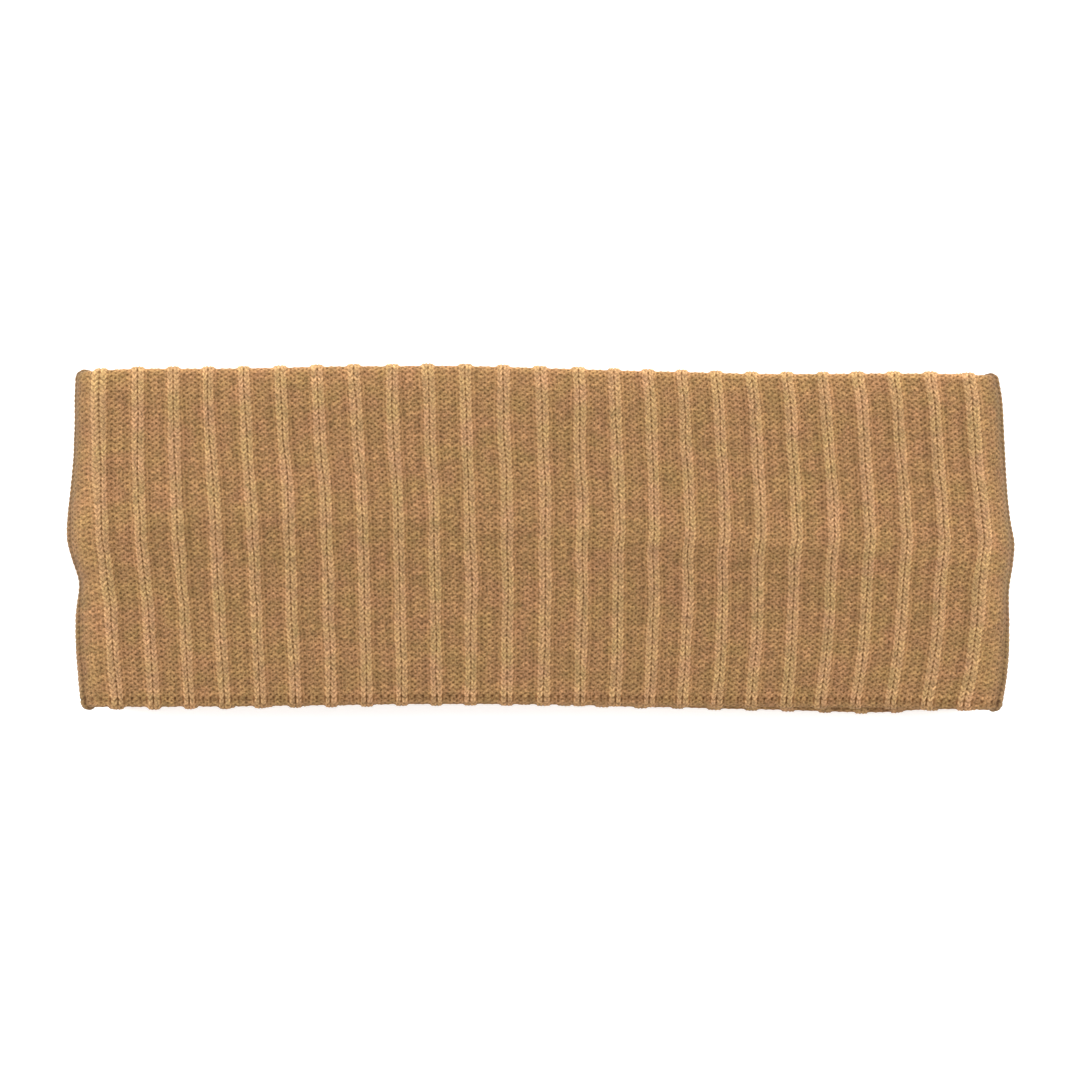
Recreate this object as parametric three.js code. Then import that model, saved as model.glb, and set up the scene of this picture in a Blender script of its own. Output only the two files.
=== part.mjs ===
// Ribbed knit ear warmer: an endless band of doubled rib knit, lying flat on a table.
// Millimetres. X runs along the flattened loop, Y up the band's height, Z up from the table.
// The loop's front layer lies above its back layer, with the hollow for the head between them.
import * as THREE from "three";

// Driving sizes
const FLAT_WIDTH = 240; // across the ribs of both fold ends, away from the bulge
const BAND_HEIGHT = 88; // from the lower edge to the rib tops at the upper edge
const WALL = 3.0; // the doubled knit between ribs
const OUTER_RELIEF = 0.8; // how far a rib stands out of the outer face
const INNER_RELIEF = 0.5; // the same on the face towards the head
const RIB_PITCH = 9.5; // from rib to rib, round the loop
const RIB_TOP = 3.1; // width of a rib's top
const RIB_FLANK = 1.3; // width of each of its flanks
const HOLLOW_MIDDLE = 5.7; // clear height between the layers, in the middle of the flat part
const HOLLOW_END = 6.6; // the same where the layers turn into the fold ends
const END_SPRING = 50; // how far from a fold end the layers are still held apart by it
const CREASE_RISE = 2.4; // height of the crease that runs along the front layer
const CREASE_REACH = 14; // how fast the crease dies away up and down the band
const EDGE_DROOP = 0.9; // how far the front layer sinks at its upper and lower edges
const EDGE_REACH = 10; // how far in from those edges the sinking starts
const END_BULGE = 2.1; // how far the crease pushes the fold ends out
const EDGE_WAVE = 1.0; // unevenness of the upper and lower edges
const FIRST_RIB = 6.1; // along the loop, from the left fold end to the front layer's first rib
const RIB_SPREAD = 1.75; // how far the ribs near the middle stand right of an even spacing
const RIB_WOBBLE = 0.5; // how far single ribs stand out of that spacing

// Facets
const FOLD_STEPS = 4; // facets round the upper and the lower edge
const LOWER_ROWS = [0, 0.12, 0.36, 0.63, 0.87]; // from the lower edge to the crease, as shares
const UPPER_ROWS = [0, 0.15, 0.4, 0.66, 0.88, 1]; // from the crease to the upper edge, as shares
const INNER_ROWS = [0, 0.25, 0.5, 0.75, 1]; // down the inner face, as shares

// Fold ends: how far each stands out, in END_BULGE, by height from the lower edge.
const END_ROWS = [
  { height: 0.0, left: -0.7, right: -0.1 },
  { height: 0.1, left: -0.3, right: 0.5 },
  { height: 0.25, left: -0.1, right: 0.7 },
  { height: 0.36, left: -0.5, right: 0.75 },
  { height: 0.44, left: 0.4, right: 1.2 },
  { height: 0.5, left: 0.95, right: 1.35 },
  { height: 0.57, left: 0.9, right: 0.9 },
  { height: 0.67, left: 0.5, right: 0.5 },
  { height: 0.83, left: 0.12, right: 0.15 },
  { height: 0.94, left: 0.1, right: -0.1 },
  { height: 1.0, left: 0.0, right: -0.5 },
];

// Upper and lower edges of each layer, in EDGE_WAVE above their mean lines, from left to right.
const EDGE_ROWS = [
  { along: 0.0, front_top: -0.8, front_foot: -0.1, back_top: -0.8, back_foot: -0.1 },
  { along: 0.05, front_top: -0.2, front_foot: 0.0, back_top: -0.5, back_foot: 0.0 },
  { along: 0.16, front_top: 0.0, front_foot: 0.1, back_top: -0.6, back_foot: 0.2 },
  { along: 0.4, front_top: 0.7, front_foot: 0.7, back_top: 0.0, back_foot: 1.0 },
  { along: 0.58, front_top: -0.4, front_foot: 0.4, back_top: -1.2, back_foot: 0.0 },
  { along: 0.75, front_top: -1.4, front_foot: 0.0, back_top: -2.3, back_foot: -0.9 },
  { along: 0.87, front_top: -1.3, front_foot: -0.1, back_top: -2.1, back_foot: -1.6 },
  { along: 0.93, front_top: -1.4, front_foot: -0.5, back_top: -1.8, back_foot: -0.8 },
  { along: 1.0, front_top: -1.7, front_foot: -0.9, back_top: -1.7, back_foot: -0.9 },
];

// The crease: its height above mid-height as a share of BAND_HEIGHT, and its strength.
const CREASE_ROWS = [
  { along: 0.0, up: 0.015, strength: 0.9 },
  { along: 0.14, up: 0.055, strength: 1.1 },
  { along: 0.35, up: 0.052, strength: 1.0 },
  { along: 0.49, up: 0.028, strength: 0.65 },
  { along: 0.6, up: 0.0, strength: 1.1 },
  { along: 0.76, up: -0.017, strength: 1.1 },
  { along: 0.9, up: -0.052, strength: 0.9 },
  { along: 1.0, up: -0.09, strength: 0.9 },
];

// Where the columns of the next table stand, from the front layer's first rib to its last one.
const LEAN_PLACES = { left: 0, inner_left: 0.21, middle: 0.5, inner_right: 0.75, right: 1 };

// Lean of the ribs, in RIB_PITCH to the right of an even spacing, by height.
const LEAN_ROWS = [
  { height: 0.0, left: 0.42, inner_left: 0.32, middle: -0.06, inner_right: -0.21, right: -0.28 },
  { height: 0.1, left: 0.42, inner_left: 0.33, middle: -0.06, inner_right: -0.19, right: -0.25 },
  { height: 0.27, left: 0.37, inner_left: 0.28, middle: -0.04, inner_right: -0.13, right: -0.13 },
  { height: 0.36, left: 0.19, inner_left: 0.2, middle: -0.07, inner_right: -0.14, right: -0.1 },
  { height: 0.45, left: 0.3, inner_left: 0.33, middle: -0.05, inner_right: -0.15, right: -0.09 },
  { height: 0.54, left: 0.35, inner_left: 0.38, middle: 0.04, inner_right: -0.03, right: -0.05 },
  { height: 0.64, left: 0.22, inner_left: 0.3, middle: 0.04, inner_right: 0.0, right: -0.02 },
  { height: 0.8, left: 0.14, inner_left: 0.12, middle: -0.03, inner_right: -0.06, right: -0.08 },
  { height: 1.0, left: 0.13, inner_left: 0.03, middle: 0.0, inner_right: -0.1, right: -0.08 },
];

// Unevenness of the rib spacing: waves round the loop, where each starts and its size, in RIB_WOBBLE.
const WOBBLE_ROWS = [
  { waves: 4, start: 1.0, size: 1.0 },
  { waves: 8, start: 0.8, size: 0.5 },
];

// Sizes that follow
const OUTSTAND = WALL / 2 + OUTER_RELIEF; // from the middle of the wall to a rib's top
const HEM = WALL / 2; // from the lower edge to the centre of its fold
const END_DEPTH = HOLLOW_END + 2 * INNER_RELIEF + WALL; // between the layers' middles at the ends
const MIDDLE_DEPTH = HOLLOW_MIDDLE + 2 * INNER_RELIEF + WALL;
const END_RADIUS = END_DEPTH / 2;
const QUARTER = (Math.PI * END_RADIUS) / 2;
const LOOP_LENGTH = 2 * (FLAT_WIDTH - 2 * OUTSTAND - END_DEPTH) + Math.PI * END_DEPTH;
const RIBS = Math.round(LOOP_LENGTH / RIB_PITCH);
const FRONT_RIBS = Math.floor((LOOP_LENGTH / 2 - FIRST_RIB) / RIB_PITCH) + 1;

const clamp = (x) => Math.min(1, Math.max(0, x));
const smooth = (x) => clamp(x) ** 2 * (3 - 2 * clamp(x));
const mix = (a, b, t) => a + (b - a) * t;

// A column of a table at a place between its rows, on a smooth curve through them.
function read(rows, key, at, column) {
  let i = 0;
  while (i < rows.length - 2 && rows[i + 1][key] < at) i++;
  const [a, b] = [rows[i], rows[i + 1]];
  const t = clamp((at - a[key]) / (b[key] - a[key]));
  const slope = (j) => {
    const [p, q] = [rows[Math.max(j - 1, 0)], rows[Math.min(j + 1, rows.length - 1)]];
    return ((q[column] - p[column]) / (q[key] - p[key])) * (b[key] - a[key]);
  };
  const [m0, m1] = [slope(i), slope(i + 1)];
  const [t2, t3] = [t * t, t * t * t];
  return (
    (2 * t3 - 3 * t2 + 1) * a[column] +
    (t3 - 2 * t2 + t) * m0 +
    (3 * t2 - 2 * t3) * b[column] +
    (t3 - t2) * m1
  );
}

// How far round the loop a place stands from an even spacing, in ribs. Rib 0 is the front layer's
// first rib from the left, and the back layer's ribs go on from the right fold end.
function drift(rib, height) {
  const last = FRONT_RIBS - 1;
  const lean = (column) => read(LEAN_ROWS, "height", height, column);
  const stops = [
    ...Object.entries(LEAN_PLACES).map(([column, place]) => ({ at: last * place, by: lean(column) })),
    { at: (last + RIBS) / 2, by: 0 },
    { at: RIBS, by: lean("left") },
  ];
  const at = ((rib % RIBS) + RIBS) % RIBS;
  const along = clamp(at / last);
  const spread = (RIB_SPREAD / RIB_PITCH) * Math.sin(Math.PI * along) ** 2;
  const turn = (2 * Math.PI * at) / RIBS;
  const waves = WOBBLE_ROWS.map((row) => row.size * Math.sin(row.waves * turn + row.start));
  const wobble = (RIB_WOBBLE / RIB_PITCH) * waves.reduce((sum, wave) => sum + wave);
  return read(stops, "at", at, "by") + spread + wobble;
}

// The middle of the wall at a place round the loop: where it is, which way is out, how far the
// place is towards the front layer, and how far along from left to right.
function loopPoint(rib, height) {
  const left = -FLAT_WIDTH / 2 - END_BULGE * read(END_ROWS, "height", height, "left") + OUTSTAND;
  const right = FLAT_WIDTH / 2 + END_BULGE * read(END_ROWS, "height", height, "right") - OUTSTAND;
  const flat = right - left - END_DEPTH;
  const whole = 2 * flat + 4 * QUARTER;
  const turns = (rib + FIRST_RIB / RIB_PITCH + drift(rib, height)) / RIBS;
  const s = (turns - Math.floor(turns)) * whole;
  const ends = [QUARTER, QUARTER + flat, 3 * QUARTER + flat, 3 * QUARTER + 2 * flat];
  let x;
  let angle; // of the outward direction, from straight up towards the right
  if (s < ends[0]) {
    angle = (s - QUARTER) / END_RADIUS;
    x = left + END_RADIUS;
  } else if (s < ends[1]) {
    angle = 0;
    x = left + END_RADIUS + (s - ends[0]);
  } else if (s < ends[2]) {
    angle = (s - ends[1]) / END_RADIUS;
    x = right - END_RADIUS;
  } else if (s < ends[3]) {
    angle = Math.PI;
    x = right - END_RADIUS - (s - ends[2]);
  } else {
    angle = Math.PI + (s - ends[3]) / END_RADIUS;
    x = left + END_RADIUS;
  }
  const out = new THREE.Vector3(Math.sin(angle), 0, Math.cos(angle));
  const point = out.clone().multiplyScalar(END_RADIUS);
  point.x += x;
  point.z += OUTSTAND + END_RADIUS;
  const along = clamp((point.x - left) / (right - left));
  const inward = Math.min(x - left, right - x) - END_RADIUS;
  const front = (1 + out.z) / 2;
  return { point, out, along, inward, front };
}

// Height of the front layer's middle above where the fold ends would hold it.
function frontLift(place, height, edgeGap) {
  const sag = (END_DEPTH - MIDDLE_DEPTH) * smooth(place.inward / END_SPRING);
  const line = 0.5 + read(CREASE_ROWS, "along", place.along, "up");
  const away = (Math.abs(height - line) * BAND_HEIGHT) / CREASE_REACH;
  const strength = read(CREASE_ROWS, "along", place.along, "strength");
  const crease = CREASE_RISE * strength * Math.exp(-away);
  const droop = EDGE_DROOP * (1 - clamp(edgeGap / EDGE_REACH)) ** 2;
  return (crease - sag - droop) * Math.max(0, place.out.z);
}

// The layer's upper edge line over its rib tops and its lower one, at one place round the loop.
function edgeLines(place) {
  const line = (column) => read(EDGE_ROWS, "along", place.along, column) * EDGE_WAVE;
  const front = smooth(place.front);
  return {
    top: BAND_HEIGHT / 2 + mix(line("back_top"), line("front_top"), front),
    foot: -BAND_HEIGHT / 2 + mix(line("back_foot"), line("front_foot"), front),
  };
}

// The rows round the wall's own section, from the lower edge up the outer face, over the top,
// down the inner face and round the lower edge. Each is a share of the height between the folds,
// a turn of the outward direction (0 out, 90 up) and the relief of its ribs, which run over the
// upper edge but end in a plain hem at the lower one.
function wallRows() {
  const rows = [];
  const up = (share, base) => rows.push({ share, base, turn: 0, relief: OUTER_RELIEF });
  LOWER_ROWS.forEach((share) => up(share, "foot"));
  UPPER_ROWS.forEach((share) => up(share, "crease"));
  const fold = (start, end) => {
    for (let i = 1; i < FOLD_STEPS; i++) {
      const turned = i / FOLD_STEPS;
      rows.push({ base: end, turn: start + 180 * turned, relief: mix(OUTER_RELIEF, INNER_RELIEF, turned) });
    }
  };
  fold(0, "top");
  INNER_ROWS.forEach((share) => rows.push({ share, base: "inside", turn: 180, relief: INNER_RELIEF }));
  for (let i = 1; i < FOLD_STEPS; i++) {
    const turned = i / FOLD_STEPS;
    const ends = 1 - Math.sin(Math.PI * turned);
    const relief = mix(INNER_RELIEF, OUTER_RELIEF, turned) * ends;
    rows.push({ base: "bottom", turn: 180 + 180 * turned, relief });
  }
  return rows;
}

// The columns round the loop: the feet and the top edges of each rib, and at the fold ends also
// the middles of the ribs and of the valleys between them.
function wallColumns() {
  const top = RIB_TOP / 2 / RIB_PITCH;
  const foot = (RIB_TOP / 2 + RIB_FLANK) / RIB_PITCH;
  const turns = (rib) => loopPoint(rib, 0.5).inward < RIB_PITCH / 2;
  const columns = [];
  for (let rib = 0; rib < RIBS; rib++) {
    columns.push({ rib: rib - foot, raised: 0 });
    columns.push({ rib: rib - top, raised: 1 });
    if (turns(rib)) columns.push({ rib, raised: 1 });
    columns.push({ rib: rib + top, raised: 1 });
    columns.push({ rib: rib + foot, raised: 0 });
    if (turns(rib + 0.5)) columns.push({ rib: rib + 0.5, raised: 0 });
  }
  return columns;
}

// One point of the wall's surface.
function surfacePoint(column, row) {
  const middle = loopPoint(column.rib, 0.5);
  const line = 0.5 + read(CREASE_ROWS, "along", middle.along, "up") * Math.max(0, middle.out.z);
  const shares = {
    foot: () => row.share * line,
    crease: () => mix(line, 1, row.share),
    inside: () => 1 - row.share,
    top: () => 1,
    bottom: () => 0,
  };
  const height = shares[row.base]();
  const place = loopPoint(column.rib, height);
  const edges = edgeLines(place);
  const y = mix(edges.foot + HEM, edges.top - OUTSTAND, height);
  const reach = WALL / 2 + row.relief * column.raised;
  const turn = THREE.MathUtils.degToRad(row.turn);
  const edgeGap = Math.min(height, 1 - height) * (BAND_HEIGHT - OUTSTAND - HEM);
  const point = place.point.clone().addScaledVector(place.out, reach * Math.cos(turn));
  point.z += frontLift(place, height, edgeGap);
  point.y = y + reach * Math.sin(turn);
  return point;
}

// A closed surface over the grid of columns and rows, which both run round and meet themselves.
function ringGeometry(columns, rows) {
  const positions = [];
  const index = [];
  columns.forEach((column) => {
    rows.forEach((row) => positions.push(...surfacePoint(column, row).toArray()));
  });
  const at = (i, j) => (i % columns.length) * rows.length + (j % rows.length);
  columns.forEach((_, i) => {
    rows.forEach((_, j) => {
      index.push(at(i, j), at(i + 1, j), at(i + 1, j + 1));
      index.push(at(i, j), at(i + 1, j + 1), at(i, j + 1));
    });
  });
  const geometry = new THREE.BufferGeometry();
  geometry.setAttribute("position", new THREE.Float32BufferAttribute(positions, 3));
  geometry.setIndex(index);
  return geometry;
}

function knitBand() {
  const geometry = ringGeometry(wallColumns(), wallRows());
  geometry.computeBoundingBox();
  const centre = geometry.boundingBox.getCenter(new THREE.Vector3());
  geometry.translate(-centre.x, -centre.y, -geometry.boundingBox.min.z);
  geometry.computeVertexNormals();
  const knit = new THREE.MeshStandardMaterial({ color: 0xac845b, roughness: 0.95, metalness: 0 });
  const mesh = new THREE.Mesh(geometry, knit);
  mesh.name = "knit_band";
  return mesh;
}

const headband = new THREE.Group();
headband.add(knitBand());

export default headband;
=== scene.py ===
"""Looks of the ribbed knit ear warmer: every stitch of the band, its yarn, the floor, light and camera.

The band's form comes from the same sizes and tables as the part's source, in millimetres. The knit
is laid over that form stitch by stitch and set into the frame in metres.
"""
import math

import bpy
import numpy as np
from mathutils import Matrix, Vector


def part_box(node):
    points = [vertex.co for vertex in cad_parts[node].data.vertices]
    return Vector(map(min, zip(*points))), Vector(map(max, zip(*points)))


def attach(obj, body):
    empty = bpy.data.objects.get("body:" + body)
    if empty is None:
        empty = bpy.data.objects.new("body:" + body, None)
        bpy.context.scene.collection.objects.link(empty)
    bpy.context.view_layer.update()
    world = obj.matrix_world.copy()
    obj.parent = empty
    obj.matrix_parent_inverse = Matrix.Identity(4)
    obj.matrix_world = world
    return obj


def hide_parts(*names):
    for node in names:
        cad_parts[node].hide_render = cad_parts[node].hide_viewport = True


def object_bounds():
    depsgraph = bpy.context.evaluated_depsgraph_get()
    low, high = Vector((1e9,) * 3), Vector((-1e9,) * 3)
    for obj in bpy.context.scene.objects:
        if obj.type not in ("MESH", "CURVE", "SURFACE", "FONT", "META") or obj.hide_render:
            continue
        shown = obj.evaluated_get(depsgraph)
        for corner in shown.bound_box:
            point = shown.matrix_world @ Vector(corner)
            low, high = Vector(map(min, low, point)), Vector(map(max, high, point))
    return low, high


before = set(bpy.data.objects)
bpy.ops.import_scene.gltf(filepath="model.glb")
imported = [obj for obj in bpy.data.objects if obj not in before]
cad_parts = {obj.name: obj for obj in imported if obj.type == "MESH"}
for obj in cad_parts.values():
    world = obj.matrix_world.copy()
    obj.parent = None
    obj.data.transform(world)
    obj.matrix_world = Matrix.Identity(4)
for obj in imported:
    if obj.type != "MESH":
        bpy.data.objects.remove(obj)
cad_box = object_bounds()

# The band's form, in millimetres, as in the part's source
FLAT_WIDTH = 240.0
BAND_HEIGHT = 88.0
WALL = 3.0
OUTER_RELIEF = 0.8
INNER_RELIEF = 0.5
RIB_PITCH = 9.5
HOLLOW_MIDDLE = 5.7
HOLLOW_END = 6.6
END_SPRING = 50.0
CREASE_RISE = 2.4
CREASE_REACH = 14.0
CREASE_ROUND = 0.9  # how softly the crease turns over at its top
EDGE_DROOP = 0.9
EDGE_REACH = 10.0
END_BULGE = 2.1
EDGE_WAVE = 1.0
FIRST_RIB = 6.1
RIB_SPREAD = 1.75
RIB_WOBBLE = 0.5

# Fold ends: how far each stands out, in END_BULGE, by height from the lower edge
END_ROWS = {
    "height": (0.0, 0.1, 0.25, 0.36, 0.44, 0.5, 0.57, 0.67, 0.83, 0.94, 1.0),
    "left": (-0.7, -0.3, -0.1, -0.5, 0.4, 0.95, 0.9, 0.5, 0.12, 0.1, 0.0),
    "right": (-0.1, 0.5, 0.7, 0.75, 1.2, 1.35, 0.9, 0.5, 0.15, -0.1, -0.5),
}
# Upper and lower edges of each layer, in EDGE_WAVE above their mean lines, from left to right
EDGE_ROWS = {
    "along": (0.0, 0.05, 0.16, 0.4, 0.58, 0.75, 0.87, 0.93, 1.0),
    "front_top": (-0.8, -0.2, 0.0, 0.7, -0.4, -1.4, -1.3, -1.4, -1.7),
    "front_foot": (-0.1, 0.0, 0.1, 0.7, 0.4, 0.0, -0.1, -0.5, -0.9),
    "back_top": (-0.8, -0.5, -0.6, 0.0, -1.2, -2.3, -2.1, -1.8, -1.7),
    "back_foot": (-0.1, 0.0, 0.2, 1.0, 0.0, -0.9, -1.6, -0.8, -0.9),
}
# The crease: its height above mid-height as a share of BAND_HEIGHT, and its strength
CREASE_ROWS = {
    "along": (0.0, 0.14, 0.35, 0.49, 0.6, 0.76, 0.9, 1.0),
    "up": (0.015, 0.055, 0.052, 0.028, 0.0, -0.017, -0.052, -0.09),
    "strength": (0.9, 1.1, 1.0, 0.65, 1.1, 1.1, 0.9, 0.9),
}
# Where the columns of the next table stand, from the front layer's first rib to its last one
LEAN_PLACES = {"left": 0.0, "inner_left": 0.21, "middle": 0.5, "inner_right": 0.75, "right": 1.0}
# Lean of the ribs, in RIB_PITCH to the right of an even spacing, by height
LEAN_ROWS = {
    "height": (0.0, 0.1, 0.27, 0.36, 0.45, 0.54, 0.64, 0.8, 1.0),
    "left": (0.42, 0.42, 0.37, 0.19, 0.3, 0.35, 0.22, 0.14, 0.13),
    "inner_left": (0.32, 0.33, 0.28, 0.2, 0.33, 0.38, 0.3, 0.12, 0.03),
    "middle": (-0.06, -0.06, -0.04, -0.07, -0.05, 0.04, 0.04, -0.03, 0.0),
    "inner_right": (-0.21, -0.19, -0.13, -0.14, -0.15, -0.03, 0.0, -0.06, -0.1),
    "right": (-0.28, -0.25, -0.13, -0.1, -0.09, -0.05, -0.02, -0.08, -0.08),
}
# Unevenness of the rib spacing: waves round the loop, where each starts and its size, in RIB_WOBBLE
WOBBLE_ROWS = ((4, 1.0, 1.0), (8, 0.8, 0.5))

# Sizes that follow
OUTSTAND = WALL / 2 + OUTER_RELIEF
HEM = WALL / 2
END_DEPTH = HOLLOW_END + 2 * INNER_RELIEF + WALL
MIDDLE_DEPTH = HOLLOW_MIDDLE + 2 * INNER_RELIEF + WALL
END_RADIUS = END_DEPTH / 2
QUARTER = math.pi * END_RADIUS / 2
LOOP_LENGTH = 2 * (FLAT_WIDTH - 2 * OUTSTAND - END_DEPTH) + math.pi * END_DEPTH
RIBS = round(LOOP_LENGTH / RIB_PITCH)
FRONT_RIBS = int((LOOP_LENGTH / 2 - FIRST_RIB) // RIB_PITCH) + 1
FLAT_HEIGHT = BAND_HEIGHT - OUTSTAND - HEM

# The knit: columns of stitches are wales, rows of stitches are courses
KNIT_WALES = 2  # raised, in each rib
PURL_WALES = 3  # sunk, in each panel between ribs
KNIT_WIDTH = 0.92  # of a raised wale, as a share of the mean wale; the sunk ones take the rest
COURSE = 1.4
WALES = KNIT_WALES + PURL_WALES
OUTER_COURSES = round(FLAT_HEIGHT / COURSE)
FOLD_COURSES = 4
GIRTH_COURSES = 2 * (OUTER_COURSES + FOLD_COURSES)
ROWS_PER_COURSE = 4  # of the fine outer face and the folds; the inner face has one
KNIT_COLUMNS = (0.0, 0.19, 0.36, 0.5, 0.64, 0.81)  # across one knit wale
PURL_COLUMNS = (0.0, 0.25, 0.5, 0.75)  # across one purl wale

# Form of a knit stitch, in shares of a wale's half width, of a course or of the stitch's full height
LEG_RISE = 0.72  # how far a leg climbs across half a wale
LEG_END = 0.48  # height of a leg where the next one starts
LEG_MIDDLE = 0.7  # height of a leg at the middle of its wale
LEG_ROUNDNESS = 0.7  # power of the legs' round backs
LEG_SIDE = 0.6  # where a leg starts to fall away towards the side of its wale
RIB_LINE = 0.12  # height of the line between a rib's two knit wales
RIB_FOOT = 0.25  # height of the rib's outer sides
CROSSING = 0.35  # how much higher both stand where two legs meet

# Form of a purl stitch, in the same shares
BUMP_SWAY = 0.25  # how far purl bumps stand above and below their course
BUMP_FULLNESS = 1.8  # power of the bumps' full backs
STRAND = 0.04  # height of the slanting strands between bumps

# Relief of the stitches, in millimetres
KNIT_DEPTH = 0.42  # from a leg's crest to the groove between two knit wales
PURL_DEPTH = 0.34  # from a purl bump's crest to the bottom of the small holes between bumps
HEM_GROOVE = 0.3  # row of small holes where the ribs end in the hem
SWELL = 0.10  # slow unevenness of the wall
WALL_LEVEL = 0.62  # height of a stitch that lies on the wall's own surface, as a share

# Profile of a rib, in mean wales from its middle line
RIB_TOP = 0.45
RIB_FLANK = 0.85  # width of its flank
CROWN_FROM = 1.1
CROWN_FLANK = 1.3
PANEL_CROWN = 0.12  # the panel between ribs is fuller in its middle, as a share of the rib's rise

# Uneven tension: sizes in wales or courses, with the cells of its noise round the loop and the girth
WANDER = 0.10
WANDER_CELLS = ((255, 24), (64, 12))
CLIMB = 0.12
CLIMB_CELLS = (128, 40)
SWELL_CELLS = (51, 26)
UNEVEN = 0.22  # how much deeper or shallower single stitches are, as a share

# Upper edge, lower edge and inner face; places round the edges' turn are in half turns
TOP_SOFTENING = 0.1  # share of the ribs' relief that is lost where they turn over the upper edge
HEM_SCALLOP_LEFT = 1.2  # share of it that still shows along the lower edge, at the left end
HEM_SCALLOP_REST = 0.6  # and from the middle to the right end
HEM_GROOVE_AT = 0.25  # courses above the lower edge's fold
HEM_GROOVE_REACH = 0.35  # half the width of that row of holes, in courses
FINE_END = 0.75  # where the fine stitches start to fade into the plainer inner face, past the top
FINE_END_WIDTH = 0.2
FINE_START = 1.2  # and where they start to show again, before the lower edge
FINE_START_WIDTH = 0.3

# Tone of the yarn, from 0 to 1: painted shade in its dips, its holes and its sunk panels
PURL_EASE = 0.5  # how much lighter than the yarn's shadow the bottoms of the purl holes look
PANEL_DIP_SHADE = 0.8  # the panels' tone beside the ribs', a painted shade on the sunk panels
# painted dip shade on the plain inner face, where no stitches are drawn
INNER_TONE = 0.6
HEM_HOLES = 0.7  # painted shade: how dark the hem's row of holes is
HEM_PLAIN = 0.6  # share of the ribs' lighter tone, where the panels carry painted shade, that is lost in the hem below those holes
HEM_TONE = 0.35  # what it changes to, from 0 as in the panels to 1 as on the ribs
HEM_COURSES = 1.2  # over which it changes

# Rims: how light the yarn shows, as a share: painted shade where the wall turns away and painted highlights
# over the upper edge and the hem
TOP_RIM = 0.75  # painted highlight added where the wall turns over the upper edge
TOP_RIM_FOLD = 0.75  # share of that on the fold itself; the rest is on the last of the layer
TOP_RIM_FROM = 0.92  # height on the layers where it starts
HEM_RIM = 0.55  # left on the lower edge, under its painted shade
HEM_LIGHT = 0.2  # painted light added on the last courses over the hem
HEM_LIGHT_AT = 1.0  # middle of those courses above the fold
HEM_LIGHT_REACH = 1.5
RIM_REACH_LEFT = 2.0  # how far the painted shade of each fold end reaches round it, as a power
RIM_REACH_RIGHT = 3.0

SEED = 7
MM = 0.001  # in metres
SECTORS = 5  # stretches that the band is made in, each a piece of its own
UV_MARGIN = 0.004  # bare edge round each stretch's layout, as a share


def smooth(x):
    """0 below 0, 1 above 1 and a soft step between."""
    x = np.clip(x, 0, 1)
    return x * x * (3 - 2 * x)


def mix(a, b, t):
    return a + (b - a) * t


def step(value, start, width):
    """0 up to the start and 1 from one width past it."""
    return smooth((value - start) / width)


def hump(value, middle, reach):
    """1 at the middle and a soft fall on both sides."""
    return np.exp(-(((value - middle) / reach) ** 2))


def curve(stops, values, at):
    """Smooth curve through values at the stops; a value may itself vary from point to point."""
    stops = np.asarray(stops, float)
    values = np.stack([np.broadcast_to(np.asarray(v, float), at.shape) for v in values])
    last = len(stops) - 1
    i = np.clip(np.searchsorted(stops, at, side="left") - 1, 0, last - 1)
    span = stops[i + 1] - stops[i]
    t = np.clip((at - stops[i]) / span, 0, 1)

    def value(j):
        return np.take_along_axis(values, j[None], 0)[0]

    def slope(j):
        before = np.maximum(j - 1, 0)
        after = np.minimum(j + 1, last)
        return (value(after) - value(before)) / (stops[after] - stops[before]) * span

    t2 = t * t
    t3 = t2 * t
    return (
        (2 * t3 - 3 * t2 + 1) * value(i)
        + (t3 - 2 * t2 + t) * slope(i)
        + (3 * t2 - 2 * t3) * value(i + 1)
        + (t3 - t2) * slope(i + 1)
    )


def read(table, key, at, column):
    return curve(table[key], table[column], at)


def drift(rib, height):
    """How far round the loop a place stands from an even spacing, in ribs."""
    last = FRONT_RIBS - 1
    lean = {name: read(LEAN_ROWS, "height", height, name) for name in LEAN_PLACES}
    at = np.mod(rib, RIBS)
    stops = [last * place for place in LEAN_PLACES.values()] + [(last + RIBS) / 2, RIBS]
    values = list(lean.values()) + [0.0, lean["left"]]
    spread = RIB_SPREAD / RIB_PITCH * np.sin(math.pi * np.clip(at / last, 0, 1)) ** 2
    turn = 2 * math.pi * at / RIBS
    waves = sum(size * np.sin(waves * turn + start) for waves, start, size in WOBBLE_ROWS)
    return curve(stops, values, at) + spread + RIB_WOBBLE / RIB_PITCH * waves


def loop_place(rib, height):
    """The middle of the wall round the loop: x, z, the outward direction's angle and where it is."""
    left = -FLAT_WIDTH / 2 - END_BULGE * read(END_ROWS, "height", height, "left") + OUTSTAND
    right = FLAT_WIDTH / 2 + END_BULGE * read(END_ROWS, "height", height, "right") - OUTSTAND
    flat = right - left - END_DEPTH
    whole = 2 * flat + 4 * QUARTER
    turns = (rib + FIRST_RIB / RIB_PITCH + drift(rib, height)) / RIBS
    s = (turns - np.floor(turns)) * whole
    a = QUARTER
    b = a + flat
    c = b + 2 * QUARTER
    d = c + flat
    first = left + END_RADIUS
    last = right - END_RADIUS
    where = [s < a, s < b, s < c, s < d]
    x = np.select(where, [first, first + s - a, last, last - (s - c)], first)
    turned = [(s - a) / END_RADIUS, 0 * s, (s - b) / END_RADIUS, math.pi + 0 * s]
    angle = np.select(where, turned, math.pi + (s - d) / END_RADIUS)
    inward = np.minimum(x - left, right - x) - END_RADIUS
    middle_x = x + END_RADIUS * np.sin(angle)
    middle_z = OUTSTAND + END_RADIUS * (1 + np.cos(angle))
    along = np.clip((middle_x - left) / (right - left), 0, 1)
    return middle_x, middle_z, angle, inward, along


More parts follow.
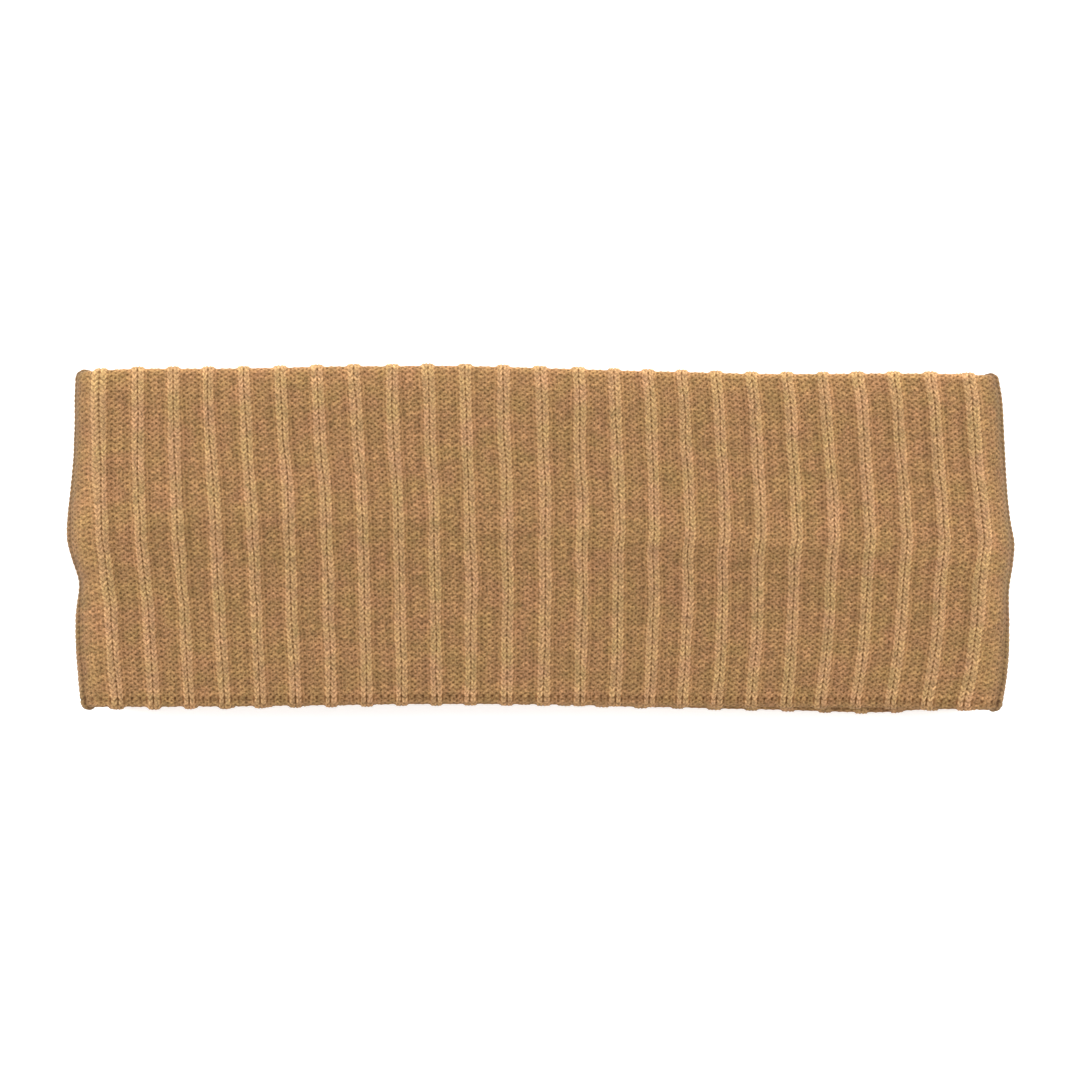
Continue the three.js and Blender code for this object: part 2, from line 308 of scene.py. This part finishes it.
def front_lift(angle, inward, along, height):
    """Height of the front layer's middle above where the fold ends would hold it."""
    sag = (END_DEPTH - MIDDLE_DEPTH) * smooth(inward / END_SPRING)
    line = 0.5 + read(CREASE_ROWS, "along", along, "up")
    away = (height - line) * BAND_HEIGHT
    away = (np.sqrt(away**2 + CREASE_ROUND**2) - CREASE_ROUND) / CREASE_REACH
    crease = CREASE_RISE * read(CREASE_ROWS, "along", along, "strength") * np.exp(-away)
    gap = np.minimum(height, 1 - height) * FLAT_HEIGHT
    droop = EDGE_DROOP * (1 - np.clip(gap / EDGE_REACH, 0, 1)) ** 2
    return (crease - sag - droop) * np.maximum(0, np.cos(angle))


def edge_lines(angle, along):
    """The layers' upper and lower edge lines, over the rib tops."""
    front = smooth((1 + np.cos(angle)) / 2)
    line = {name: EDGE_WAVE * read(EDGE_ROWS, "along", along, name) for name in EDGE_ROWS if name != "along"}
    top = BAND_HEIGHT / 2 + mix(line["back_top"], line["front_top"], front)
    foot = -BAND_HEIGHT / 2 + mix(line["back_foot"], line["front_foot"], front)
    return top, foot


def girth_place(course):
    """Height share and turn of the outward direction (0 out, half a turn in) along the girth."""
    g = np.mod(course, GIRTH_COURSES)
    a = OUTER_COURSES
    b = a + FOLD_COURSES
    c = b + OUTER_COURSES
    where = [g < a, g < b, g < c]
    height = np.select(where, [g / a, 1 + 0 * g, 1 - (g - b) / OUTER_COURSES], 0)
    turn = np.select(where, [0 * g, (g - a) / FOLD_COURSES, 1 + 0 * g], 1 + (g - c) / FOLD_COURSES)
    return np.clip(height, 0, 1), math.pi * turn


def value_noise(rng, around, girth, cells_around, cells_girth):
    """Smooth noise from -1 to 1 over the band, which meets itself round the loop and the girth."""
    lattice = rng.uniform(-1, 1, (cells_around, cells_girth))
    u = around / (RIBS * WALES) * cells_around
    v = girth / GIRTH_COURSES * cells_girth
    i = np.floor(u).astype(int)
    j = np.floor(v).astype(int)
    fu = smooth(u - i)
    fv = smooth(v - j)

    def corner(di, dj):
        return lattice[(i + di) % cells_around, (j + dj) % cells_girth]

    low = mix(corner(0, 0), corner(1, 0), fu)
    high = mix(corner(0, 1), corner(1, 1), fu)
    return mix(low, high, fv)


def stitch_columns():
    """Places of the mesh's columns across one repeat, in wales from the rib's middle line."""
    knit = [wale + share for wale in range(-1, -1 + KNIT_WALES) for share in KNIT_COLUMNS]
    purl = [KNIT_WALES - 1 + wale + share for wale in range(PURL_WALES) for share in PURL_COLUMNS]
    return np.array(knit + purl)


def stitch_rows():
    """Places of the mesh's rows along the girth, in courses: coarse on the inner face alone."""
    fine = np.arange(0, (OUTER_COURSES + FOLD_COURSES) * ROWS_PER_COURSE) / ROWS_PER_COURSE
    inner = OUTER_COURSES + FOLD_COURSES + np.arange(0, OUTER_COURSES)
    hem_start = GIRTH_COURSES - FOLD_COURSES
    hem = hem_start + np.arange(0, FOLD_COURSES * ROWS_PER_COURSE) / ROWS_PER_COURSE
    return np.concatenate([fine, inner, hem])


def skew(wale):
    """How far a column's rows stand up the girth, in courses: V legs in knit, waves in purl."""
    knit = wale <= KNIT_WALES - 1
    from_middle = np.abs(2 * (np.mod(wale, 1) - 0.5))
    return np.where(knit, LEG_RISE * from_middle, 1 - BUMP_SWAY * np.cos(2 * math.pi * wale))


def across(wale):
    """Where a column stands across its repeat, in mean wales from the rib's middle."""
    raised = KNIT_WALES / 2
    edge = raised * KNIT_WIDTH
    sunk_width = (WALES - 2 * edge) / PURL_WALES
    return np.where(wale <= raised, wale * KNIT_WIDTH, edge + (wale - raised) * sunk_width)


def rib_profile(place):
    """Rise of the rib across its repeat, from 0 in the panel to 1 on the rib."""
    from_rib = np.minimum(np.abs(place), WALES - np.abs(place))
    crown = PANEL_CROWN * step(from_rib, CROWN_FROM, CROWN_FLANK)
    return 1 - step(from_rib, RIB_TOP, RIB_FLANK) + crown


def knit_stitch(wale, phase):
    """Height of the V legs of a knit wale, from 0 to 1."""
    from_middle = np.abs(2 * (np.mod(wale, 1) - 0.5))
    beat = np.abs(np.sin(math.pi * phase))
    stroke = mix(LEG_END, 1, beat**LEG_ROUNDNESS)
    leg = mix(LEG_MIDDLE, 1, np.sin(math.pi * from_middle) ** LEG_ROUNDNESS)
    beside = np.where(np.abs(wale) < 0.5, RIB_LINE, RIB_FOOT) + CROSSING * beat
    return mix(leg * stroke, beside, step(from_middle, LEG_SIDE, 1 - LEG_SIDE))


def purl_stitch(wale, phase):
    """Height of the bumps and strands of a purl wale, from 0 to 1."""
    sway = np.cos(2 * math.pi * wale)
    bump = sway * np.cos(2 * math.pi * (phase - BUMP_SWAY * sway))
    strand = STRAND * np.sin(2 * math.pi * phase) * np.sin(2 * math.pi * wale) ** 2
    return 1 - (0.5 - 0.5 * bump) ** BUMP_FULLNESS + strand


def uneven_tension(around, course, phase, counted):
    """How far stitches wander and climb, how far each stands out, and the wall's slow swell."""
    rng = np.random.default_rng(SEED)
    wander = WANDER * sum(value_noise(rng, around, course, *cells) for cells in WANDER_CELLS)
    climb = CLIMB * value_noise(rng, around, course, *CLIMB_CELLS)
    single = rng.uniform(-1, 1, (RIBS * WALES, GIRTH_COURSES))
    column = np.floor(counted).astype(int) % (RIBS * WALES)
    row = np.floor(phase).astype(int) % GIRTH_COURSES
    swell = SWELL * value_noise(rng, around, course, *SWELL_CELLS)
    return wander, climb, single[column, row], swell


def edge_relief(turn, lower, along):
    """How much of the ribs' relief is left round the upper and the lower edge."""
    scallop = mix(HEM_SCALLOP_LEFT, HEM_SCALLOP_REST, smooth(2 * along))
    return 1 + np.sin(turn) * np.where(lower, 1 - scallop, -TOP_SOFTENING)


def painted_rim_light_and_shade(angle, turn, lower, along, height, from_hem):
    """Painted light and shade on the yarn: painted shade round the fold ends and the foot, painted
    highlights over the top and over the hem.
    """
    layer = step(height, TOP_RIM_FROM, 1 - TOP_RIM_FROM)
    painted_top_highlight = 1 + TOP_RIM * mix(layer, np.sin(turn), TOP_RIM_FOLD)
    painted_foot_shade = mix(HEM_RIM, 1, np.abs(np.cos(turn)))
    painted_hem_light = 1 + HEM_LIGHT * hump(from_hem, HEM_LIGHT_AT, HEM_LIGHT_REACH)
    painted_end_shade = np.abs(np.cos(angle)) ** mix(RIM_REACH_LEFT, RIM_REACH_RIGHT, along)
    return painted_end_shade * np.where(lower, painted_foot_shade, painted_top_highlight) * painted_hem_light


def knit_surface():
    """The band's whole surface as a grid: points in millimetres, and at each the yarn's tone, painted shade
    included, and its weave, which also carries the painted rim light and shade.
    """
    columns = stitch_columns()
    wale = np.tile(columns, RIBS)[:, None]
    first_wale = WALES * np.repeat(np.arange(RIBS), len(columns))[:, None]
    around = first_wale + across(wale)
    counted = first_wale + wale
    phase = stitch_rows()[None, :]
    course = phase + skew(wale)
    wander, climb, stitch, swell = uneven_tension(around, course, phase, counted)

    height, turn = girth_place(course + climb)
    x, z, angle, inward, along = loop_place((around + wander) / WALES, height)
    lift = front_lift(angle, inward, along, height)
    top, foot = edge_lines(angle, along)
    y = mix(foot + HEM, top - OUTSTAND, height)

    lower = turn > math.pi
    half_turns = turn / math.pi
    inside = smooth(np.where(lower, 2 - half_turns, half_turns))
    relief = mix(OUTER_RELIEF, INNER_RELIEF, inside) * edge_relief(turn, lower, along)
    rise = rib_profile(across(wale))
    knit = wale <= KNIT_WALES - 1
    yarn = np.where(knit, knit_stitch(wale, phase), purl_stitch(wale, phase))
    depth = np.where(knit, KNIT_DEPTH, PURL_DEPTH) * (1 + UNEVEN * stitch)
    fine_again = step(half_turns, FINE_START, FINE_START_WIDTH)
    fine = np.where(lower, fine_again, 1 - step(half_turns, FINE_END, FINE_END_WIDTH))
    detail = depth * (yarn - WALL_LEVEL) * fine
    from_hem = course + climb - np.round(course / GIRTH_COURSES) * GIRTH_COURSES
    between_wales = np.cos(math.pi * wale) ** 4
    hem_holes = hump(from_hem, HEM_GROOVE_AT, HEM_GROOVE_REACH) * between_wales
    reach = WALL / 2 + relief * rise + detail + swell - HEM_GROOVE * hem_holes

    out = reach * np.cos(turn)
    points = np.stack(
        [x + out * np.sin(angle), y + reach * np.sin(turn), z + lift + out * np.cos(angle)], axis=-1
    )
    points[..., 2] = np.maximum(points[..., 2], 0)

    # painted shade: the dips, the holes and the sunk panels get darker colour from the tone's first and
    # third channels
    shown = np.where(knit, yarn, mix(PURL_EASE, 1, yarn)) * mix(PANEL_DIP_SHADE, 1, rise)
    cavity = mix(INNER_TONE, np.clip(shown - HEM_HOLES * hem_holes, 0, 1), fine)
    on_rib = np.clip(rise, 0, 1)
    in_hem = np.where(inside < 0.5, 1 - step(from_hem, -HEM_COURSES, HEM_COURSES), 0)
    unshaded_rib_mask = mix(on_rib, HEM_TONE, HEM_PLAIN * in_hem)
    tone = np.stack(np.broadcast_arrays(cavity, 0.5 + 0.5 * stitch, unshaded_rib_mask), axis=-1)
    dots = course - (LEG_RISE - 0.5) * on_rib
    # painted shade round the fold ends and the foot, and painted highlights over the top and the hem, as the
    # weave's third channel
    painted_rims = painted_rim_light_and_shade(angle, turn, lower, along, height, from_hem)
    weave = np.stack(np.broadcast_arrays(counted, dots, painted_rims), axis=-1)
    return points, tone, weave


def grid_normals(points):
    """Normals of a grid that meets itself both ways, pointing out."""
    across = np.roll(points, -1, 0) - np.roll(points, 1, 0)
    up = np.roll(points, -1, 1) - np.roll(points, 1, 1)
    normals = np.cross(across, up)
    return normals / np.maximum(np.linalg.norm(normals, axis=-1, keepdims=True), 1e-12)


def cap_faces(rows, first, flip):
    """Triangles that close one cut end, between the outer and the inner run of the wall's section."""
    half_fold = FOLD_COURSES * ROWS_PER_COURSE // 2
    top = (OUTER_COURSES * ROWS_PER_COURSE) + half_fold
    hem = rows - half_fold
    outer = [k % rows for k in range(hem, rows + top + 1)]
    inner = list(range(hem, top - 1, -1))
    faces = []
    i = 0
    j = 0
    while i < len(outer) - 1 or j < len(inner) - 1:
        outer_next = (i + 1) / (len(outer) - 1)
        inner_next = (j + 1) / (len(inner) - 1)
        if outer_next <= inner_next:
            face = (outer[i], outer[i + 1], inner[j])
            i += 1
        else:
            face = (outer[i], inner[j + 1], inner[j])
            j += 1
        if len(set(face)) == 3:
            faces.append([first + k for k in (face[::-1] if flip else face)])
    return faces


def sector_mesh(name, points, normals, tone, weave):
    """A closed stretch of the band between two cuts, from its part of the grid.

    The layout of the surface is written before the weave, because adding an attribute moves it.
    """
    columns, rows = points.shape[:2]
    i, j = np.meshgrid(np.arange(columns - 1), np.arange(rows), indexing="ij")
    after = (j + 1) % rows
    quads = np.stack([i * rows + j, (i + 1) * rows + j, (i + 1) * rows + after, i * rows + after], axis=-1)
    quads = quads.reshape(-1, 4)
    caps = cap_faces(rows, 0, True) + cap_faces(rows, (columns - 1) * rows, False)
    mesh = bpy.data.meshes.new(name)
    mesh.from_pydata(points.reshape(-1, 3) * MM, [], quads.tolist() + caps)

    colours = mesh.color_attributes.new("tone", "FLOAT_COLOR", "POINT")
    rgba = np.concatenate([tone.reshape(-1, 3), np.ones((columns * rows, 1))], axis=1)
    colours.data.foreach_set("color", rgba.ravel())

    layer = mesh.uv_layers.new(name="OFBake")
    loops = np.empty(len(mesh.loops), dtype=np.int64)
    mesh.loops.foreach_get("vertex_index", loops)
    column_share = np.repeat(np.arange(columns) / (columns - 1), rows)
    row_share = np.tile(np.arange(rows) / rows, columns)
    uv = np.stack([column_share, row_share], axis=-1)[loops]
    closing = np.zeros(len(loops), bool)
    quad_loops = quads.reshape(-1)
    last_row = (quad_loops % rows == 0) & np.repeat((quads[:, 0] % rows) == rows - 1, 4)
    closing[: len(quad_loops)] = last_row
    uv[closing, 1] = 1.0
    layer.data.foreach_set("uv", mix(UV_MARGIN, 1 - UV_MARGIN, uv).ravel())

    place = weave.reshape(-1, 3)[loops]
    place[closing, 1] += GIRTH_COURSES
    corners = mesh.attributes.new("weave", "FLOAT_VECTOR", "CORNER")
    corners.data.foreach_set("vector", place.ravel())

    mesh.validate()
    mesh.polygons.foreach_set("use_smooth", np.ones(len(mesh.polygons), bool))
    mesh.normals_split_custom_set_from_vertices(normals.reshape(-1, 3).tolist())
    piece = bpy.data.objects.new(name, mesh)
    bpy.context.scene.collection.objects.link(piece)
    return piece


def knit_band():
    """The band in a few closed stretches, cut in the valley beside a rib, where no cut shows."""
    points, tone, weave = knit_surface()
    low, high = points.reshape(-1, 3).min(0), points.reshape(-1, 3).max(0)
    cad_low, cad_high = (np.array(corner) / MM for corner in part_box("knit_band"))
    points[..., :2] += ((cad_low + cad_high) / 2 - (low + high) / 2)[:2]
    points[..., 2] += cad_low[2] - low[2]
    normals = grid_normals(points)
    per_rib = len(stitch_columns())
    valley = len(KNIT_COLUMNS) * KNIT_WALES + 1
    cuts = [round(RIBS * k / SECTORS) * per_rib + valley for k in range(SECTORS + 1)]
    pieces = []
    for k in range(SECTORS):
        place = np.arange(cuts[k], cuts[k + 1] + 1)
        picked = place % len(points)
        grids = [grid[picked] for grid in (points, normals, tone, weave)]
        grids[-1][..., 0] += (place // len(points))[:, None] * RIBS * WALES
        pieces.append(sector_mesh(f"knit_stretch_{k + 1}", *grids))
    return pieces


def node(tree, kind, inputs=None, **settings):
    made = tree.nodes.new(kind)
    for name, value in settings.items():
        setattr(made, name, value)
    for socket, value in (inputs or {}).items():
        if isinstance(value, bpy.types.NodeSocket):
            tree.links.new(value, made.inputs[socket])
        else:
            made.inputs[socket].default_value = value
    return made


def blend(tree, factor, low, high, mode="MIX"):
    made = tree.nodes.new("ShaderNodeMix")
    made.data_type = "RGBA"
    made.blend_type = mode
    colour_inputs = [s for s in made.inputs if s.type == "RGBA"]
    factor_input = made.inputs[0]
    for socket, value in ((factor_input, factor), (colour_inputs[0], low), (colour_inputs[1], high)):
        if isinstance(value, bpy.types.NodeSocket):
            tree.links.new(value, socket)
        else:
            socket.default_value = value
    return next(s for s in made.outputs if s.type == "RGBA")


def calculate(tree, operation, *values):
    """One step of arithmetic on sockets and plain numbers."""
    return node(tree, "ShaderNodeMath", dict(enumerate(values)), operation=operation).outputs[0]


def wave(tree, value):
    """A cosine wave with one crest at each whole number."""
    return calculate(tree, "COSINE", calculate(tree, "MULTIPLY", value, 2 * math.pi))


# The yarn's colours and textures; the ranges are the part of each input that is used
YARN_CREST = (0.38, 0.223, 0.103, 1.0)
# painted shade: the dark colour of the yarn's dips and of the holes between stitches
PAINTED_DIP_SHADE = (0.13, 0.06, 0.022, 1.0)
YARN_WARM = (0.388, 0.204, 0.109, 1.0)
YARN_COOL = (0.34, 0.231, 0.087, 1.0)
# painted shade on the sunk panels between ribs; the ribs get none
PANEL_SHADE = (0.80, 0.74, 0.67, 1.0)
RIB_SHADE = (1.0, 1.0, 1.0, 1.0)
DIP_TO_CREST = (0.05, 0.85)
FIBRE_SCALE = 1900.0
FIBRE_RANGE = (0.3, 0.7)
FIBRE_TONE = (0.48, 1.52)
HEATHER_SCALE = 160.0
HEATHER_RANGE = (0.32, 0.68)
STITCH_TONE = (0.87, 1.13)
HOLE_RANGE = (-0.95, -0.1)  # of the lattice of stitches, from a hole's middle to its edge
# how far the holes between stitches are painted with the dips' painted shade
HOLE_SHADE = 0.6
HOLE_BUMP = 0.8
RIM_SHADE = 0.45  # painted shade: the yarn's tone where the fold ends turn away, as a share
SHEEN_TINT = (1.0, 0.78, 0.52, 1.0)


def map_range(tree, value, used, result, kind="LINEAR"):
    """A value's used range drawn out to the range of the result."""
    inputs = {"Value": value}
    inputs["From Min"], inputs["From Max"] = used
    inputs["To Min"], inputs["To Max"] = result
    return node(tree, "ShaderNodeMapRange", inputs, interpolation_type=kind).outputs["Result"]


def yarn_colour(tree, place, cavity, on_rib):
    """The heathered yarn's colour, with painted shade in its dips and on the sunk panels between ribs."""
    heather = node(tree, "ShaderNodeTexNoise", {"Vector": place, "Scale": HEATHER_SCALE, "Detail": 2.0})
    patches = map_range(tree, heather.outputs["Fac"], HEATHER_RANGE, (0.0, 1.0))
    crest = blend(tree, 0.5, blend(tree, patches, YARN_WARM, YARN_COOL), YARN_CREST)
    # painted shade on the sunk panels between the ribs
    shade = blend(tree, on_rib, PANEL_SHADE, RIB_SHADE)
    lit = blend(tree, 1.0, crest, shade, "MULTIPLY")
    # painted shade in the yarn's dips, from the dip height in the tone attribute
    raised = map_range(tree, cavity, DIP_TO_CREST, (0.0, 1.0), "SMOOTHSTEP")
    return blend(tree, raised, PAINTED_DIP_SHADE, lit)


def stitch_holes(tree, wales, courses, on_rib):
    """Small holes between the stitches, painted dark as shade, from places counted in wales and courses."""
    wale_wave = wave(tree, wales)
    lattice = calculate(tree, "MULTIPLY", wale_wave, wave(tree, courses))
    holes = map_range(tree, lattice, HOLE_RANGE, (1.0, 0.0), "SMOOTHSTEP")
    between = calculate(tree, "MULTIPLY_ADD", wale_wave, 0.5, 0.5)
    on_leg = calculate(tree, "MULTIPLY", calculate(tree, "SUBTRACT", 1.0, between), on_rib)
    return calculate(tree, "MULTIPLY", holes, calculate(tree, "SUBTRACT", 1.0, on_leg))


def yarn_material():
    material = bpy.data.materials.new("camel_yarn")
    material.use_nodes = True
    tree = material.node_tree
    shader = tree.nodes["Principled BSDF"]
    tone = node(tree, "ShaderNodeAttribute", attribute_name="tone").outputs["Color"]
    cavity, stitch, on_rib = node(tree, "ShaderNodeSeparateColor", {"Color": tone}).outputs
    weave = node(tree, "ShaderNodeAttribute", attribute_name="weave").outputs["Vector"]
    wales, courses, painted_rims = node(tree, "ShaderNodeSeparateXYZ", {"Vector": weave}).outputs
    place = node(tree, "ShaderNodeTexCoord").outputs["Object"]
    fibres = node(
        tree, "ShaderNodeTexNoise", {"Vector": place, "Scale": FIBRE_SCALE, "Detail": 3.0, "Roughness": 0.6}
    ).outputs["Fac"]

    hole = stitch_holes(tree, wales, courses, on_rib)
    yarn = yarn_colour(tree, place, cavity, on_rib)
    # painted shade in the holes between the stitches
    pitted = blend(tree, calculate(tree, "MULTIPLY", hole, HOLE_SHADE), yarn, PAINTED_DIP_SHADE)
    stitch_tone = map_range(tree, stitch, (0.0, 1.0), STITCH_TONE)
    fibre_tone = map_range(tree, fibres, FIBRE_RANGE, FIBRE_TONE)
    # painted rim shade and painted highlights, together with the stitches' and the fibres' own tone
    rim_shade = calculate(tree, "MULTIPLY_ADD", painted_rims, 1 - RIM_SHADE, RIM_SHADE)
    light = calculate(tree, "MULTIPLY", calculate(tree, "MULTIPLY", stitch_tone, fibre_tone), rim_shade)
    grey = node(tree, "ShaderNodeCombineColor", {"Red": light, "Green": light, "Blue": light})
    colour = blend(tree, 1.0, pitted, grey.outputs["Color"], "MULTIPLY")
    tree.links.new(colour, shader.inputs["Base Color"])

    fluff = calculate(tree, "MULTIPLY_ADD", hole, -HOLE_BUMP, fibres)
    bump = node(tree, "ShaderNodeBump", {"Height": fluff, "Strength": 0.5, "Distance": 0.00014})
    tree.links.new(bump.outputs["Normal"], shader.inputs["Normal"])
    shader.inputs["Roughness"].default_value = 0.95
    shader.inputs["Specular IOR Level"].default_value = 0.15
    shader.inputs["Sheen Weight"].default_value = 0.15
    shader.inputs["Sheen Roughness"].default_value = 0.45
    shader.inputs["Sheen Tint"].default_value = SHEEN_TINT
    return material


def floor_material():
    material = bpy.data.materials.new("white_paper")
    material.use_nodes = True
    shader = material.node_tree.nodes["Principled BSDF"]
    shader.inputs["Base Color"].default_value = (0.9, 0.9, 0.9, 1.0)
    shader.inputs["Roughness"].default_value = 0.9
    shader.inputs["Specular IOR Level"].default_value = 0.1
    shader.inputs["Emission Color"].default_value = (1.0, 1.0, 1.0, 1.0)
    shader.inputs["Emission Strength"].default_value = 0.4
    return material


# The floor, in metres
FLOOR_HALF = 3.0
FLOOR_GAP = 0.0001  # below the band


def floor():
    corners = [(x * FLOOR_HALF, y * FLOOR_HALF, 0) for x, y in ((-1, -1), (1, -1), (1, 1), (-1, 1))]
    mesh = bpy.data.meshes.new("floor")
    mesh.from_pydata(corners, [], [(0, 1, 2, 3)])
    mesh.materials.append(floor_material())
    plane = bpy.data.objects.new("floor", mesh)
    plane.location.z = cad_box[0][2] - FLOOR_GAP
    bpy.context.scene.collection.objects.link(plane)


# The studio: a white surround, and round soft lights with their places and sizes in metres
SURROUND = 0.52
LIGHTS = (
    {"name": "key", "place": (0.0, 1.2, 0.5), "size": 0.8, "power": 20.0},
    {"name": "fill", "place": (0.0, -1.2, 0.5), "size": 0.8, "power": 10.0},
    {"name": "left", "place": (-0.6, 0.05, 0.17), "size": 0.2, "power": 3.4},
    {"name": "right", "place": (0.6, 0.05, 0.17), "size": 0.2, "power": 3.4},
)


def area_light(aim, name, place, size, power):
    data = bpy.data.lights.new(name, "AREA")
    data.shape = "DISK"
    data.size = size
    data.energy = power
    lamp = bpy.data.objects.new(name, data)
    lamp.location = place
    direction = aim - lamp.location
    lamp.rotation_euler = direction.to_track_quat("-Z", "Y").to_euler()
    bpy.context.scene.collection.objects.link(lamp)


def studio(centre):
    world = bpy.data.worlds.new("studio")
    world.use_nodes = True
    background = world.node_tree.nodes["Background"]
    background.inputs["Color"].default_value = (1.0, 1.0, 1.0, 1.0)
    background.inputs["Strength"].default_value = SURROUND
    bpy.context.scene.world = world
    for light in LIGHTS:
        area_light(centre, **light)


# The photo's frame: 1080 pixels a side, with the band's middle almost in its middle
PHOTO_SIDE = 1080
PHOTO_BAND_LEFT = 67
PHOTO_BAND_RIGHT = 1014.5
PHOTO_BAND_MIDDLE_Y = 539
LENS = 300.0
SENSOR = 36.0


def camera(centre):
    width = cad_box[1][0] - cad_box[0][0]
    metres_a_pixel = width / (PHOTO_BAND_RIGHT - PHOTO_BAND_LEFT)
    view_width = PHOTO_SIDE * metres_a_pixel
    data = bpy.data.cameras.new("camera")
    data.lens = LENS
    data.sensor_width = SENSOR
    made = bpy.data.objects.new("camera", data)
    off_x = (PHOTO_SIDE / 2 - (PHOTO_BAND_LEFT + PHOTO_BAND_RIGHT) / 2) * metres_a_pixel
    off_y = (PHOTO_BAND_MIDDLE_Y - PHOTO_SIDE / 2) * metres_a_pixel
    distance = view_width * LENS / SENSOR
    made.location = (centre.x + off_x, centre.y + off_y, centre.z + distance)
    bpy.context.scene.collection.objects.link(made)
    bpy.context.scene.camera = made


def dress():
    material = yarn_material()
    for piece in knit_band():
        piece.data.materials.append(material)
        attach(piece, "root")
        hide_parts("knit_band")


def main():
    low = Vector(cad_box[0])
    high = Vector(cad_box[1])
    centre = (low + high) / 2
    dress()
    floor()
    studio(centre)
    camera(centre)
    bpy.context.scene.view_settings.view_transform = "Standard"


main()
